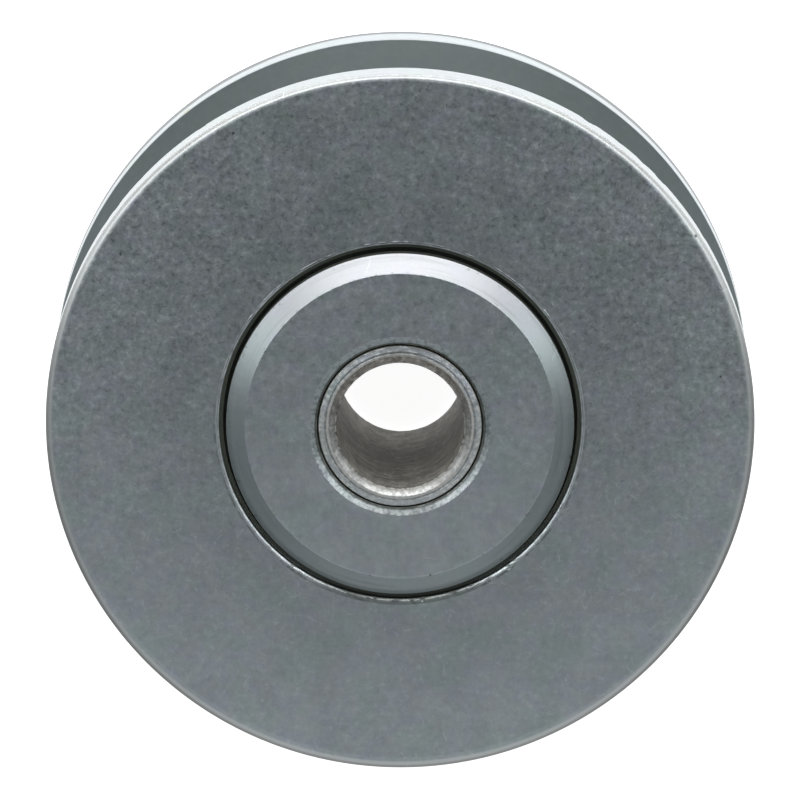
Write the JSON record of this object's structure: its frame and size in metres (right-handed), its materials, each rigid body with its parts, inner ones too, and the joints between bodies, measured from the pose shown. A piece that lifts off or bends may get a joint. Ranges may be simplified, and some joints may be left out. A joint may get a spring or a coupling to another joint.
{
  "type": "v groove wheel",
  "caption": "Steel V-groove gate wheel that runs on two shielded ball bearings round a tubular hub, bolted through its bore.",
  "frame": {"origin": "middle of the wheel: on its axis, halfway between the two hub faces", "axes": "+Z along the wheel's axis, out of the front hub disc; X and Y lie in the plane of the wheel"},
  "size_m": [0.08, 0.08, 0.032],
  "materials": {
    "wheel_zinc": "turned steel with a thin satin zinc plating, finely scratched",
    "disc_zinc": "turned steel with a thin satin zinc plating",
    "tube_zinc": "drawn steel tube, spread and slightly brown at its ends",
    "spacer_steel": "plain turned steel",
    "ring_steel": "ground bearing steel",
    "ball_steel": "polished bearing steel",
    "cage_steel": "pressed steel sheet",
    "shield_steel": "pressed plated sheet steel"
  },
  "bodies": {
    "hub": {"hub_tube": "tube_zinc", "front_hub_disc": "disc_zinc", "rear_hub_disc": "disc_zinc", "inner_spacer": "spacer_steel", "front_inner_ring": "ring_steel", "rear_inner_ring": "ring_steel"},
    "wheel": {"wheel_body": "wheel_zinc", "front_outer_ring": "ring_steel", "rear_outer_ring": "ring_steel", "front_outer_shield": "shield_steel", "front_inner_shield": "shield_steel", "rear_outer_shield": "shield_steel", "rear_inner_shield": "shield_steel"},
    "front_cage": {"front_outer_cage_half": "cage_steel", "front_inner_cage_half": "cage_steel", "front_cage_rivets": "cage_steel", "front_ball_1": "ball_steel", "front_ball_2": "ball_steel", "front_ball_3": "ball_steel", "front_ball_4": "ball_steel", "front_ball_5": "ball_steel", "front_ball_6": "ball_steel", "front_ball_7": "ball_steel", "front_ball_8": "ball_steel"},
    "rear_cage": {"rear_outer_cage_half": "cage_steel", "rear_inner_cage_half": "cage_steel", "rear_cage_rivets": "cage_steel", "rear_ball_1": "ball_steel", "rear_ball_2": "ball_steel", "rear_ball_3": "ball_steel", "rear_ball_4": "ball_steel", "rear_ball_5": "ball_steel", "rear_ball_6": "ball_steel", "rear_ball_7": "ball_steel", "rear_ball_8": "ball_steel"}
  },
  "joints": [
    {"name": "wheel_spin", "type": "hinge", "parent": "hub", "child": "wheel", "pos_m": [0, 0, 0], "axis": [0, 0, 1], "continuous": true},
    {"name": "front_cage_spin", "type": "hinge", "parent": "hub", "child": "front_cage", "pos_m": [0, 0, 0.007], "axis": [0, 0, 1], "continuous": true},
    {"name": "rear_cage_spin", "type": "hinge", "parent": "hub", "child": "rear_cage", "pos_m": [0, 0, -0.007], "axis": [0, 0, 1], "continuous": true}
  ],
  "couplings": [
    {"joint": "front_cage_spin", "follows": "wheel_spin", "ratio": 0.61837},
    {"joint": "rear_cage_spin", "follows": "wheel_spin", "ratio": 0.61837}
  ]
}
